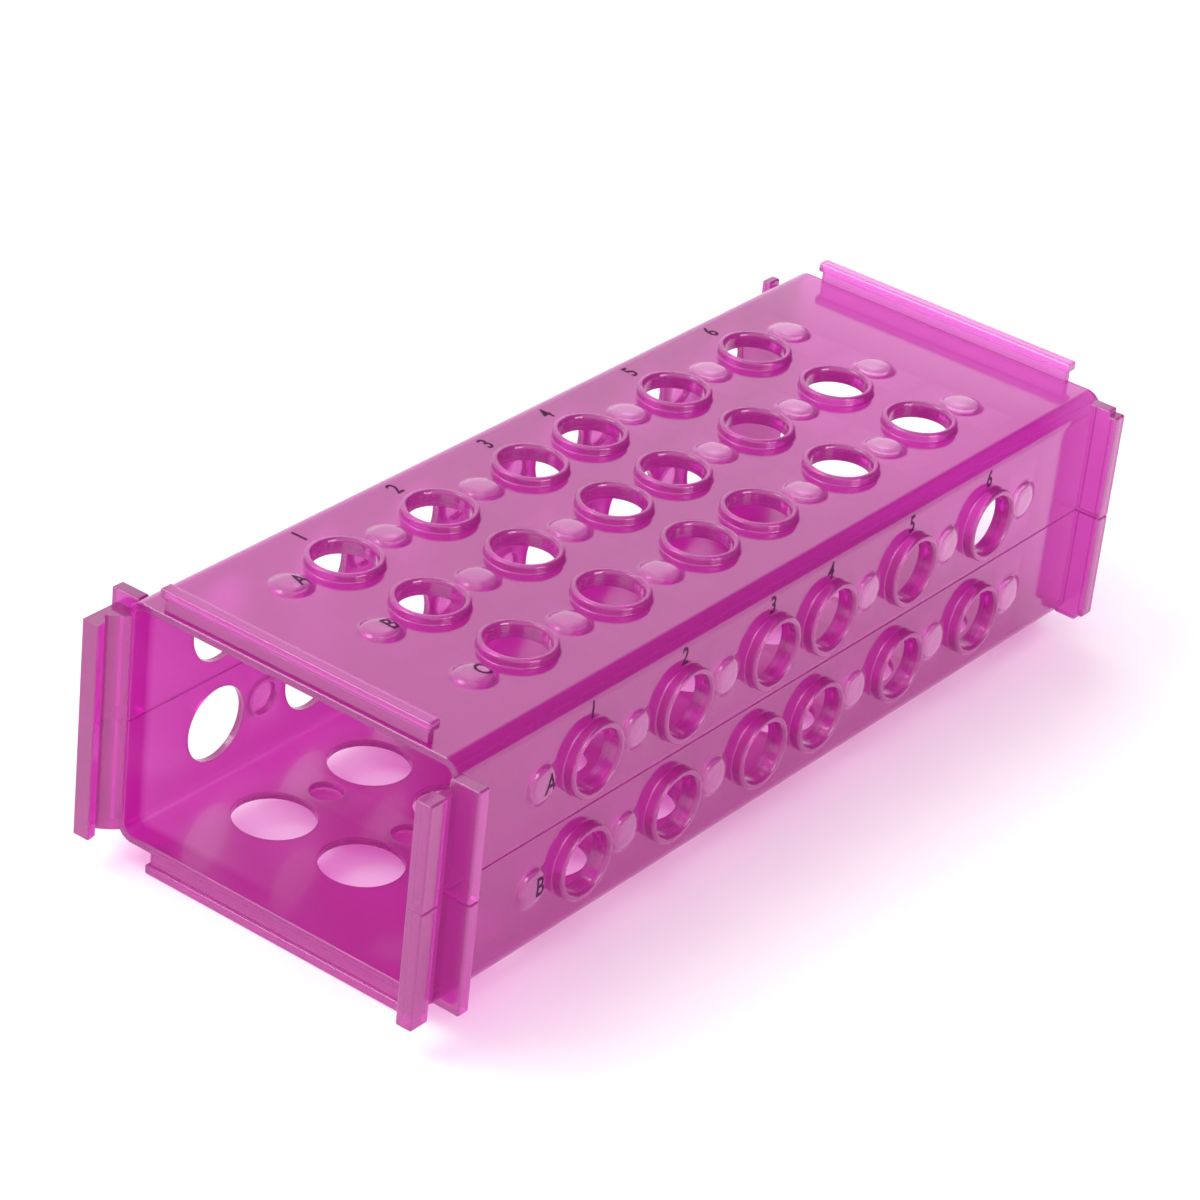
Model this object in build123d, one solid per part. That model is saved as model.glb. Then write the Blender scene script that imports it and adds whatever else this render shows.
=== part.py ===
"""Four-way rack for small laboratory tubes: two thin U-shaped halves joined at mid-height.

X runs along the rack, from the near end (-X) to the far end (+X), with X = 0 at the middle
of the overall length. The front wall faces -Y. Z = 0 is the plane the bottom rails stand on.
All sizes are in millimetres.
"""
import os

from build123d import *

# ---- hole pattern ----
COLUMN_PITCH = 24.0        # between neighbouring columns
MIDDLE_GAP = 16.5          # between the two middle columns
COLUMNS_A_SIDE = 3         # columns on each side of the gap
TOP_ROW_PITCH = 18.0       # between rows of the top panel's holes and the seats under them
BOTTOM_ROW_PITCH = 18.9    # the same for the bottom panel's holes
SIDE_ROW_PITCH = 19.2      # between the rows of the side walls, one row in each half

# ---- body ----
WALL = 1.4
INNER_RADIUS = 1.8         # inside radius of the long corners
BODY_WIDTH = 68.0
BODY_HEIGHT = 45.0         # over the panels, without the rails
NEAR_MARGIN = 21.5         # outermost seat to the near end
FAR_MARGIN = 23.5          # outermost seat to the far end
SEAM_CHAMFER = 0.3         # along the seam, on both faces of a side wall

# ---- holes: collared in the top and the front, plain in the bottom and the back ----
TOP_BORE = 10.8
FRONT_BORE = 10.8
BOTTOM_BORE = 14.4
BACK_BORE = 13.6
COLLAR_WALL = 1.3          # round every collared bore
TOP_COLLAR = 1.5           # height of a collar on the top panel
FRONT_COLLAR = 2.0
COLLAR_ROUND = 0.4
LEAD = 0.4                 # chamfer at the mouth of a collared bore

# ---- seats that the tube tips stand in, opposite every hole ----
SEAT_RECESS = 6.0
SEAT_RIM = 0.7             # wall of the cup around the recess
SEAT_BUMP = 1.0            # height of the cup outside the panel
SEAT_CHAMFER = 0.6
SEAT_FLOOR = 0.7

# ---- rails across the top and bottom at both ends: a web with a rounded crest ----
RAIL_HEIGHT = 4.3
RAIL_INSET = 7.0           # from the side of the body to the end of a web
RAIL_WEB = 1.4
CREST_WIDTH = 2.6
CREST_HEIGHT = 1.8
CREST_OVERHANG = 0.7       # crest beyond each end of its web
CREST_ROUND = 0.7

# ---- ribs on the side walls ----
RIB_THICKNESS = 2.6        # along X
RIB_REACH = 5.2            # outside the wall
NEAR_FRONT_RIB = 1.4       # outer face of the rib beyond the near end
NEAR_BACK_RIB = -1.6       # the same on the back wall, short of the near end
FAR_RIB = -0.6             # the same at the far end
RIB_MARGIN = 2.0           # below the panel's face
HIGH_RIB_MARGIN = 0.9      # the same on the ribs that reach almost to the panel
CAP_DEPTH = 1.9            # thicker outer part of a far rib
BACK_CAP_MARGIN = 3.4      # below the panel's face, on the back wall
BACK_WEB_MARGIN = 4.4      # the same for the thinner part of that rib
BAR_ROUND = 0.4

# ---- bead at the near end, in the plane of the front wall ----
BEAD_REACH = 8.6           # beyond the near end
BEAD_LENGTH = 4.2
BEAD_RISE = 1.8            # outside the wall

# ---- hook at the near end, outside the plane of the back wall ----
HOOK_REACH = 6.4
HOOK_LENGTH = 2.8          # catch at the hook's tip
HOOK_RAMP = 2.2            # from the end of the wall to the floor of the slot
HOOK_SLOT = 2.3            # floor of the slot outside the wall
HOOK_LIFT = 0.6            # catch outside the wall
HOOK_PLATE = 1.5
HOOK_MARGIN = 1.7          # below the panel's face

# ---- values that follow ----
CORNER_RADIUS = INNER_RADIUS + WALL
SEAT_SHIFT = COLUMN_PITCH / 2            # a seat lies half a pitch outside its column
COLUMN_STEPS = [MIDDLE_GAP / 2 + i * COLUMN_PITCH for i in range(COLUMNS_A_SIDE)]
SEAT_STEPS = [step + SEAT_SHIFT for step in COLUMN_STEPS]
BODY_LENGTH = NEAR_MARGIN + 2 * SEAT_STEPS[-1] + FAR_MARGIN
FAR_X = (BODY_LENGTH + BEAD_REACH) / 2
NEAR_X = FAR_X - BODY_LENGTH
PATTERN_X = FAR_X - FAR_MARGIN - SEAT_STEPS[-1]
COLUMNS = [PATTERN_X + side * step for side in (-1, 1) for step in COLUMN_STEPS]
SEATS = [PATTERN_X + side * step for side in (-1, 1) for step in SEAT_STEPS]
TOP_ROWS = [-TOP_ROW_PITCH, 0, TOP_ROW_PITCH]
BOTTOM_ROWS = [-BOTTOM_ROW_PITCH, 0, BOTTOM_ROW_PITCH]
HALF_WIDTH = BODY_WIDTH / 2
HALF_HEIGHT = BODY_HEIGHT / 2
SEAM_Z = RAIL_HEIGHT + HALF_HEIGHT
SIDE_ROW_Z = SIDE_ROW_PITCH / 2          # above the seam
RAIL_SPAN = BODY_WIDTH - 2 * RAIL_INSET
RIB_TOP = HALF_HEIGHT - RIB_MARGIN
HIGH_RIB_TOP = HALF_HEIGHT - HIGH_RIB_MARGIN
SMALL = 0.01                             # overrun that keeps cuts clean

TOP_FACE = Plane(origin=(0, 0, HALF_HEIGHT), x_dir=(1, 0, 0), z_dir=(0, 0, 1))
FRONT_FACE = Plane(origin=(0, -HALF_WIDTH, SIDE_ROW_Z), x_dir=(1, 0, 0), z_dir=(0, -1, 0))
BACK_FACE = Plane(origin=(0, HALF_WIDTH, SIDE_ROW_Z), x_dir=(1, 0, 0), z_dir=(0, 1, 0))


def turned(points):
    """Solid turned about the local Z axis from (radius, height) points."""
    outline = Polyline(*[(r, 0, z) for r, z in points], close=True)
    return revolve(make_face(outline), axis=Axis.Z)


def block(x0, x1, y0, y1, z0, z1, radius=0):
    """Box between the given planes, with all its edges rounded."""
    solid = Pos(x0, y0, z0) * Box(x1 - x0, y1 - y0, z1 - z0, align=(Align.MIN,) * 3)
    if radius:
        solid = fillet(solid.edges(), radius)
    return solid


def collar(bore, height):
    """Raised ring round a bore; its root is sunk to half the wall."""
    root = WALL / 2
    solid = Pos(0, 0, -root) * Cylinder(bore / 2 + COLLAR_WALL, height + root,
                                        align=(Align.CENTER, Align.CENTER, Align.MIN))
    return fillet(solid.edges().sort_by(Axis.Z)[-1], COLLAR_ROUND)


def bore_cut(bore, mouth=0, lead=0):
    """Through hole up to a mouth at the given height, with a chamfer there."""
    r = bore / 2
    return turned([(0, -WALL - SMALL), (r, -WALL - SMALL), (r, mouth - lead),
                   (r + lead + SMALL, mouth + SMALL), (0, mouth + SMALL)])


def seat_cup():
    """Shallow cup that stands out of the panel."""
    r = SEAT_RECESS / 2 + SEAT_RIM
    return turned([(0, -WALL / 2), (r, -WALL / 2), (r, SEAT_BUMP - SEAT_CHAMFER),
                   (r - SEAT_CHAMFER, SEAT_BUMP), (0, SEAT_BUMP)])


def seat_cut():
    """Recess in the panel's inner face, above the seat's floor."""
    depth = WALL + SEAT_BUMP - SEAT_FLOOR
    return Pos(0, 0, -WALL - SMALL) * Cylinder(SEAT_RECESS / 2, depth + SMALL,
                                               align=(Align.CENTER, Align.CENTER, Align.MIN))


def on_face(face, xs, ys, solid):
    """Copies of a solid on a face, at every column and row given."""
    return [face * Pos(x, y, 0) * solid for x in xs for y in ys]


def shell():
    """Upper half of the four-walled body, with its seam on Z = 0."""
    outer = RectangleRounded(BODY_WIDTH, BODY_HEIGHT, CORNER_RADIUS)
    inner = RectangleRounded(BODY_WIDTH - 2 * WALL, BODY_HEIGHT - 2 * WALL, INNER_RADIUS)
    tube = extrude(Plane.YZ.offset(NEAR_X) * (outer - inner), amount=BODY_LENGTH)
    solid = tube & block(NEAR_X, FAR_X, -BODY_WIDTH, BODY_WIDTH, 0, BODY_HEIGHT)
    return chamfer(solid.edges().filter_by(Axis.X).group_by(Axis.Z)[0], SEAM_CHAMFER)


def rail(x):
    """Rail across the top panel, centred on the given X."""
    root = HALF_HEIGHT - WALL / 2
    crest = HALF_HEIGHT + RAIL_HEIGHT
    half_span = RAIL_SPAN / 2
    half_crest = half_span + CREST_OVERHANG
    web = block(x - RAIL_WEB / 2, x + RAIL_WEB / 2, -half_span, half_span, root,
                crest - CREST_HEIGHT / 2)
    bead = block(x - CREST_WIDTH / 2, x + CREST_WIDTH / 2, -half_crest, half_crest,
                 crest - CREST_HEIGHT, crest, CREST_ROUND)
    return web + bead


def rib(outer_face, top):
    """Rib that stands out of a side wall, in the frame of flange()."""
    return block(outer_face - RIB_THICKNESS, outer_face, -WALL, RIB_REACH, 0, top, BAR_ROUND)


def far_flange(web_top, cap_top):
    """Rib whose outer part is thicker, flush with the far end and of its own height."""
    web = rib(FAR_RIB, web_top)
    low = block(FAR_RIB - RIB_THICKNESS - SMALL, SMALL, RIB_REACH - CAP_DEPTH,
                RIB_REACH + SMALL, cap_top, HALF_HEIGHT)
    cap = block(FAR_RIB - RIB_THICKNESS, 0, RIB_REACH - CAP_DEPTH, RIB_REACH, 0, cap_top,
                BAR_ROUND)
    return web - low + cap


def bead_flange():
    """Rib, and the wall's own plane carried past the end to a bead on its outer side."""
    tongue = block(-RIB_THICKNESS, BEAD_REACH - BEAD_LENGTH / 2, -WALL, 0, 0, RIB_TOP)
    bead = block(BEAD_REACH - BEAD_LENGTH, BEAD_REACH, -WALL, BEAD_RISE, 0, RIB_TOP, BAR_ROUND)
    tip = tongue & block(-RIB_THICKNESS, BEAD_REACH, -WALL, 0, 0, HALF_HEIGHT - CORNER_RADIUS)
    return rib(NEAR_FRONT_RIB, RIB_TOP) + tip + bead


def hook_flange():
    """Rib, and a plate that ramps away from the wall to a catch turned towards it."""
    back = HOOK_SLOT + HOOK_PLATE
    root = NEAR_BACK_RIB - RIB_THICKNESS / 2
    catch = HOOK_REACH - HOOK_LENGTH
    outline = Polyline((root, -WALL / 2), (0, -WALL / 2), (HOOK_RAMP, HOOK_SLOT),
                       (catch, HOOK_SLOT), (catch, HOOK_LIFT), (HOOK_REACH, HOOK_LIFT),
                       (HOOK_REACH, back), (root, back), close=True)
    plate = extrude(make_face(outline), amount=HALF_HEIGHT - HOOK_MARGIN)
    tip_edges = plate.edges().group_by(Axis.X)[-1]
    return rib(NEAR_BACK_RIB, HIGH_RIB_TOP) + fillet(tip_edges, BAR_ROUND)


def flanges():
    """One flange at each end of each side wall.

    A flange is built with its local X past the end and its local Y out of the wall.
    """
    half_turn = Rotation(0, 0, 180)
    return [Pos(NEAR_X, -HALF_WIDTH, 0) * half_turn * bead_flange(),
            Pos(NEAR_X, HALF_WIDTH, 0) * mirror(hook_flange(), about=Plane.YZ),
            Pos(FAR_X, -HALF_WIDTH, 0) * mirror(far_flange(HIGH_RIB_TOP, RIB_TOP),
                                                about=Plane.XZ),
            Pos(FAR_X, HALF_WIDTH, 0) * far_flange(HALF_HEIGHT - BACK_WEB_MARGIN,
                                                   HALF_HEIGHT - BACK_CAP_MARGIN)]


def half(columns, rows, panel_bore, seats, seat_rows, collared):
    """One moulded half, built as the upper one, with its seam on Z = 0.

    The panel has holes at the given columns and rows, and seats at the other ones.
    """
    side_row = [0]
    rails = [rail(NEAR_X + CREST_WIDTH / 2), rail(FAR_X - CREST_WIDTH / 2)]
    solid = shell() + rails + flanges()
    solid += on_face(FRONT_FACE, COLUMNS, side_row, collar(FRONT_BORE, FRONT_COLLAR))
    solid += on_face(FRONT_FACE, SEATS, side_row, seat_cup())
    solid += on_face(BACK_FACE, COLUMNS, side_row, seat_cup())
    solid += on_face(TOP_FACE, seats, seat_rows, seat_cup())
    panel_cut = bore_cut(panel_bore)
    if collared:
        solid += on_face(TOP_FACE, columns, rows, collar(panel_bore, TOP_COLLAR))
        panel_cut = bore_cut(panel_bore, TOP_COLLAR, LEAD)
    cuts = on_face(TOP_FACE, columns, rows, panel_cut)
    cuts += on_face(TOP_FACE, seats, seat_rows, seat_cut())
    cuts += on_face(FRONT_FACE, COLUMNS, side_row, bore_cut(FRONT_BORE, FRONT_COLLAR, LEAD))
    cuts += on_face(FRONT_FACE, SEATS, side_row, seat_cut())
    cuts += on_face(BACK_FACE, SEATS, side_row, bore_cut(BACK_BORE))
    cuts += on_face(BACK_FACE, COLUMNS, side_row, seat_cut())
    return solid - cuts


upper = half(COLUMNS, TOP_ROWS, TOP_BORE, SEATS, BOTTOM_ROWS, collared=True)
lower = mirror(half(SEATS, BOTTOM_ROWS, BOTTOM_BORE, COLUMNS, TOP_ROWS, collared=False),
               about=Plane.XY)

os.makedirs("parts", exist_ok=True)
for name, solid in (("upper_half", upper), ("lower_half", lower)):
    placed = Pos(0, 0, SEAM_Z) * solid
    placed.label = name
    export_step(placed, f"parts/{name}.step")
    box = placed.bounding_box()
    print(name, len(placed.solids()), round(placed.volume), box.min, box.max)
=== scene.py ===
# %% [markdown]
# # A four-way rack for small laboratory tubes
# The real rack is two thin U-shaped halves of clear tinted plastic that meet at mid-height, and
# tubes can stand in any of its four sides. The CAD model already holds its sizes and is loaded
# first. This lesson makes finer surfaces of the same shape, gives them the plastic and its
# printed labels, and puts them in a studio.

# %% Load the frame
import math
import bmesh
import bpy
import numpy as np
from mathutils import Matrix, Vector


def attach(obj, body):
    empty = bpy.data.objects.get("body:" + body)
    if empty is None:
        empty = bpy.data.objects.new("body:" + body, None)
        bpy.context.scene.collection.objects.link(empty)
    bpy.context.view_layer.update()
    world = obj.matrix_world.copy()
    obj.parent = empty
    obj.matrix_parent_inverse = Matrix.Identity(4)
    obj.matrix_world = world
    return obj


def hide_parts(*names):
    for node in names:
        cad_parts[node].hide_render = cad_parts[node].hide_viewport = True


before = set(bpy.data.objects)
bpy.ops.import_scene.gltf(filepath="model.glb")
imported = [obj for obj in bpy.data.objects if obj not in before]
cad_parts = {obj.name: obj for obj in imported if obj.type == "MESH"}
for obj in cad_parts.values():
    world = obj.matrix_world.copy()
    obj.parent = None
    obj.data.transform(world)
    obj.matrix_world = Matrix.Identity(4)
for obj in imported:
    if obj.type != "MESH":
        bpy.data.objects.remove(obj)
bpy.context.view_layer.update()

print("CAD nodes:", sorted(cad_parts))

# %% [markdown]
# ## Sizes
# These are the sizes of the CAD model in millimetres. X runs along the rack, Y from front to
# back, and Z up. Each half is first made with the joint at Z = 0 and its panel on top, then
# turned over if it is the lower one, and lifted into place.

# %% Sizes
MM = 0.001
WALL, CORNER = 1.4, 3.2                 # thickness, and outer radius of the long bends
HALF_WIDTH, HALF_HEIGHT = 34.0, 22.5    # of the body, from its middle and from the joint
NEAR_X, FAR_X, PATTERN_X = -86.45, 95.05, 3.3       # both ends, and the middle of the holes
SEAM_Z = 26.8
COLUMN_PITCH, MIDDLE_GAP = 24.0, 16.5
TOP_ROWS, BOTTOM_ROWS = 18.0 * np.array([-1, 0, 1]), 18.9 * np.array([-1, 0, 1])
SIDE_ROW_Z = 9.6                        # of the holes in the side walls, from the joint
TOP_BORE, FRONT_BORE, BOTTOM_BORE, BACK_BORE = 10.8, 10.8, 14.4, 13.6
COLLAR_WALL, TOP_COLLAR, FRONT_COLLAR = 1.3, 1.5, 2.0
SEAT_RADIUS, SEAT_BUMP = 3.7, 1.0
STEPS = MIDDLE_GAP / 2 + COLUMN_PITCH * np.arange(3)
COLUMNS = np.sort(np.concatenate([PATTERN_X - STEPS, PATTERN_X + STEPS]))
SEAT_STEPS = STEPS + COLUMN_PITCH / 2
SEATS = np.sort(np.concatenate([PATTERN_X - SEAT_STEPS, PATTERN_X + SEAT_STEPS]))
print("columns at", COLUMNS, "seats at", SEATS)

# %% [markdown]
# ## Sewing patches
# Every skin of the rack is a grid of points, and a closed part is many grids that share their
# edges. Sewing writes all grids into one mesh, merges the points that coincide, closes the few
# small corners that are left, and turns all faces outwards. The grids could also be modelled by
# hand and joined, but then no size could be changed afterwards.

# %% Sewing
MERGE = 0.002       # points closer than this are one point


def sew(name, grids, corners=8):
    """Mesh object from point grids in millimetres, each shaped (rows, columns, 3).

    Gaps of up to the given number of corners are closed with one flat face.
    """
    points, quads, count = [], [], 0
    for grid in grids:
        rows, columns = grid.shape[:2]
        index = count + np.arange(rows * columns).reshape(rows, columns)
        quads.append(np.stack([index[:-1, :-1], index[:-1, 1:], index[1:, 1:], index[1:, :-1]],
                              axis=-1).reshape(-1, 4))
        points.append(grid.reshape(-1, 3))
        count += rows * columns
    mesh = bpy.data.meshes.new(name)
    mesh.from_pydata(np.concatenate(points) * MM, [], np.concatenate(quads))
    work = bmesh.new()
    work.from_mesh(mesh)
    bmesh.ops.remove_doubles(work, verts=work.verts, dist=MERGE * MM)
    rims = [edge for edge in work.edges if edge.is_boundary]
    bmesh.ops.holes_fill(work, edges=rims, sides=corners)
    bmesh.ops.recalc_face_normals(work, faces=work.faces)
    open_edges = sum(not edge.is_manifold for edge in work.edges)
    work.to_mesh(mesh)
    work.free()
    piece = bpy.data.objects.new(name, mesh)
    bpy.context.collection.objects.link(piece)
    if open_edges:
        print(name, "has", open_edges, "open edges")
    return piece


print("points closer than", MERGE, "mm become one")

# %% [markdown]
# ## Uniting
# On the real half everything is moulded in one shot, so there are no walls inside it. A boolean
# union gives the same: where a rib runs into the wall, only the outer skin stays. With clear
# plastic any wall left inside would be seen.

# %% Uniting
def unite(piece, others):
    """Adds each of the other closed pieces to the first one, with no walls left inside."""
    for other in others:
        union = piece.modifiers.new("unite", "BOOLEAN")
        union.operation = "UNION"
        union.solver = "MANIFOLD"
        union.object = other
        bpy.context.view_layer.update()
        ready = piece.evaluated_get(bpy.context.evaluated_depsgraph_get())
        mesh = bpy.data.meshes.new_from_object(ready)
        piece.modifiers.clear()
        piece.data = mesh
        bpy.data.objects.remove(other)
    return piece


print("parts that overlap can be made one")

# %% [markdown]
# ## The flat pattern
# A thin wall with two long bends is easiest to draw flat, like a folded card: x along the card,
# s across it from its middle line, and h above its outer skin. The bend is added last, to all
# points at once, so that round holes stay round and both skins stay one wall apart.

# %% Bending the card
LEVEL = HALF_WIDTH - CORNER         # s where the bend starts
BEND = CORNER * math.pi / 2         # length of the bend along the card


def fold(flat):
    """(x, s, h) on the card to (x, y, z) on the U-shaped half.

    Up to the bend s runs level. In the bend the point turns about the corner's centre by
    angle = s past the start of the bend / corner radius. What is left of s runs straight down.
    """
    x, s, h = np.moveaxis(flat, -1, 0)
    run = np.abs(s)
    turn = np.clip((run - LEVEL) / CORNER, 0, math.pi / 2)
    drop = np.maximum(run - LEVEL - BEND, 0)
    y = np.sign(s) * (np.minimum(run, LEVEL) + (CORNER + h) * np.sin(turn))
    z = HALF_HEIGHT - CORNER + (CORNER + h) * np.cos(turn) - drop
    return np.stack([x, y, z], axis=-1)


def card_s(z):
    """s of the side wall's point at height z above the joint."""
    return LEVEL + BEND + HALF_HEIGHT - CORNER - z


def line(x, s, h):
    """Row of points on the card; any of the three may be an array."""
    return np.stack(np.broadcast_arrays(x, s, h), axis=-1).astype(float)


print("the card is", round(2 * card_s(0), 1), "mm wide before it is bent")

# %% [markdown]
# ## Rounded profiles
# A moulded edge is never sharp: the mould's steel is rounded a little, and that line catches the
# light. So each profile is drawn with sharp corners and then softened. A Bevel modifier could do
# it too, but it would be slower and would also soften edges that should stay as they are.

# %% Softened corners
SOFT = 3            # steps over a rounded corner


def soften(corners):
    """Profile with rounded corners, from rows of (radius, height, setback).

    A corner is cut back by its setback on both sides, and the gap is closed by the curve
    (1-u)^2 start + 2u(1-u) corner + u^2 end, which leaves both sides without a kink.
    """
    corners = np.asarray(corners, float)
    u = np.linspace(0, 1, SOFT + 1)[:, None]
    out = [corners[:1, :2]]
    for before, here, after in zip(corners, corners[1:], corners[2:]):
        point, setback = here[:2], here[2]
        back, ahead = before[:2] - point, after[:2] - point
        if setback == 0:
            out.append(point[None])
            continue
        start = point + setback * back / np.linalg.norm(back)
        end = point + setback * ahead / np.linalg.norm(ahead)
        out.append((1 - u) ** 2 * start + 2 * u * (1 - u) * point + u ** 2 * end)
    out.append(corners[-1:, :2])
    return np.concatenate(out)


print("a softened corner:", soften([(1, 0, 0), (0, 0, 0.5), (0, 1, 0)]).round(2).tolist())

# %% [markdown]
# ## Holes and seats
# The real rack has three kinds of round feature: bores with a collar that holds a tube under its
# rim, plain wide holes, and shallow seats that take the tip of a tube from the other side. Each
# is a profile that is turned about its axis: (radius, height above the outer skin, setback).

# %% Profiles
FOOT, RIM = 0.3, 0.5                    # setbacks at a collar's foot and outer rim
LEAD_IN, LEAD_DEPTH = 0.35, 0.5         # the sloped entry of a collared bore
ENTRY, THROAT = 0.2, 0.25               # setbacks above and below that slope
EXIT = 0.15                             # setback where a bore meets the inner skin
COLLAR_APRON, BORE_APRON, CUP_APRON = 0.35, 0.25, 0.6   # where a profile leaves the flat skin
INNER_APRON = 0.2                       # the same on the inner skin
CUP_SLANT, CUP_FOOT = 0.1, 0.5          # how far the cup's foot flares, and its setback
SHOULDER = (2.7, 0.85, 0.8)             # where the cup's side turns into its domed top
RECESS_RADIUS, RECESS_FLOOR = 3.0, 0.3
RECESS_EDGE, RECESS_ROUND = 0.12, 0.5   # setbacks at its mouth and round its floor


def collared(bore, height):
    """Up the collar's outside, over its rim and down the bore to the inner skin."""
    r, out = bore / 2, bore / 2 + COLLAR_WALL
    return soften([(out + COLLAR_APRON, 0, 0), (out, 0, FOOT), (out, height, RIM),
                   (r + LEAD_IN, height, ENTRY), (r, height - LEAD_DEPTH, THROAT),
                   (r, -WALL, EXIT), (r + INNER_APRON, -WALL, 0)])


def plain(bore):
    """Straight through the wall, with both edges softened."""
    r = bore / 2
    return soften([(r + BORE_APRON, 0, 0), (r, 0, ENTRY), (r, -WALL, EXIT),
                   (r + INNER_APRON, -WALL, 0)])


CUP = soften([(SEAT_RADIUS + CUP_APRON, 0, 0), (SEAT_RADIUS + CUP_SLANT, 0, CUP_FOOT), SHOULDER,
              (0, SEAT_BUMP, 0)])
RECESS = soften([(RECESS_RADIUS + INNER_APRON, -WALL, 0), (RECESS_RADIUS, -WALL, RECESS_EDGE),
                 (RECESS_RADIUS, RECESS_FLOOR, RECESS_ROUND), (0, RECESS_FLOOR, 0)])
print("profile points:", len(collared(TOP_BORE, TOP_COLLAR)), len(CUP), len(RECESS))

# %% [markdown]
# ## Cells
# Every hole and every seat sits in its own rectangle of the card. A cell runs from the rectangle
# inwards to a circle, and then follows the turned profile; a bore ends on the rectangle of the
# inner skin. The joint between two cells never shows, because both put the same points on the
# side that they share. Cutting the holes with booleans would leave long thin faces between them.

# %% Cells
SIDE = 16           # steps along one side of a cell, a quarter of the circle


def cell_edge(x0, x1, s0, s1, h):
    """Closed row of points round the rectangle, from the corner (x0, s0)."""
    t = np.linspace(0, 1, SIDE + 1)[:-1]
    along_x, along_s = x0 + (x1 - x0) * t, s0 + (s1 - s0) * t
    back_x, back_s = x1 + (x0 - x1) * t, s1 + (s0 - s1) * t
    x = np.concatenate([along_x, np.full(SIDE, x1), back_x, np.full(SIDE, x0), [x0]])
    s = np.concatenate([np.full(SIDE, s0), along_s, np.full(SIDE, s1), back_s, [s0]])
    return line(x, s, h)


def turned_rows(x, s, profile):
    """One circle of points about (x, s) for each (radius, height) of the profile.

    A point is (x + radius cos a, s + radius sin a, height), and a starts at the corner.
    """
    angle = np.linspace(-0.75 * math.pi, 1.25 * math.pi, 4 * SIDE + 1)
    radius, height = profile[:, :1], profile[:, 1:]
    return line(x + radius * np.cos(angle), s + radius * np.sin(angle), height)


def through_cell(box, x, s, profile):
    """Bore with its cell on both skins."""
    return [np.concatenate([cell_edge(*box, 0)[None], turned_rows(x, s, profile),
                            cell_edge(*box, -WALL)[None]])]


def seat_cell(box, x, s, cup, recess):
    """Shallow cup outside, round recess inside, and a thin floor between them."""
    return [np.concatenate([cell_edge(*box, h)[None], turned_rows(x, s, profile)])
            for h, profile in ((0, cup), (-WALL, recess))]


print("a circle has", 4 * SIDE, "steps")

# %% [markdown]
# ## One panel
# A panel is a table of cells, holes and seats by turns, with a plain strip at each end. In the
# middle two columns stand side by side, closer than the others and with nothing between them.
# Each row could be a copy of the first, but the breaks between the cells are needed by the walls
# and bends too, so they are worked out once.

# %% One panel
EDGE = 0.15         # softening of the cut ends


def stations(column_radius, between_radius):
    """x of the points along a panel, and the boundaries of its cells.

    A boundary halves the gap between the ring on a column and the one beside it.
    """
    half = column_radius + (COLUMN_PITCH / 2 - column_radius - between_radius) / 2
    other = COLUMN_PITCH / 2 - half
    breaks = np.sort(np.concatenate([
        [SEATS[0] - other], COLUMNS[:3] - half, COLUMNS[:2] + half, [PATTERN_X],
        COLUMNS[3:] + half, COLUMNS[4:] - half, [SEATS[-1] + other]]))
    t = np.linspace(0, 1, SIDE + 1)[1:]
    inner = (breaks[:-1, None] + np.diff(breaks)[:, None] * t).ravel()
    return np.concatenate([[NEAR_X + EDGE, breaks[0]], inner, [FAR_X - EDGE]]), breaks


def panel(breaks, edges, on_columns, on_seats):
    """Cells of one panel.

    Each part holds its rows, then one profile for a bore or two, cup and recess, for a seat.
    """
    grids = []
    centres = np.sort(np.concatenate([COLUMNS, SEATS]))
    for row, (s0, s1) in enumerate(zip(edges[:-1], edges[1:])):
        for x0, x1, x in zip(breaks[:-1], breaks[1:], centres):
            rows, *profiles = on_columns if x in COLUMNS else on_seats
            make = through_cell if len(profiles) == 1 else seat_cell
            grids += make((x0, x1, s0, s1), x, rows[row], *profiles)
        side = np.linspace(s0, s1, SIDE + 1)
        for h in (0, -WALL):
            grids.append(np.stack([line(NEAR_X + EDGE, side, h), line(breaks[0], side, h)]))
            grids.append(np.stack([line(breaks[-1], side, h), line(FAR_X - EDGE, side, h)]))
    return grids


print("each row has", len(COLUMNS) + len(SEATS), "cells")

# %% [markdown]
# ## Bends and joint
# The card has three panels: front wall, top and back wall. The bends between them are ruled from
# one panel's line of points to the next one's. The joint gets a fine chamfer on both skins,
# which is what shows the seam on the finished rack. Without it the two halves would need a
# drawn line there, and such a line catches no light.

# %% Bends and joint
TOP_CELL, WALL_CELL = 9.2, 8.0          # half the width of a row of cells
TOP_EDGES = TOP_CELL * np.array([-3, -1, 1, 3])
WALL_EDGES = card_s(SIDE_ROW_Z + WALL_CELL * np.array([1, -1]))
BEND_STEPS = 12
SEAM_CHAMFER = 0.16
SEAM_GAP = 0.01     # keeps the two halves' faces from lying in each other


def bend_and_joint(side, top_x, wall_x):
    """Both skins from the top's last row over the bend, and from the wall's to the joint."""
    bend = side * (LEVEL + BEND * np.linspace(0, 1, BEND_STEPS + 1))
    last, seam = side * card_s(SEAM_CHAMFER + SEAM_GAP), side * card_s(SEAM_GAP)
    start, end = side * WALL_EDGES
    grids = []
    for h in (0, -WALL):
        rows = [line(top_x, side * TOP_EDGES[-1], h), *(line(top_x, s, h) for s in bend)]
        grids.append(np.stack([*rows, line(wall_x, start, h)]))
        grids.append(np.stack([line(wall_x, end, h), line(wall_x, last, h)]))
    grids.append(np.stack([line(wall_x, last, 0), line(wall_x, seam, -SEAM_CHAMFER),
                           line(wall_x, seam, SEAM_CHAMFER - WALL), line(wall_x, last, -WALL)]))
    return grids, [bend, np.linspace(start, end, SIDE + 1), np.array([last])]


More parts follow.
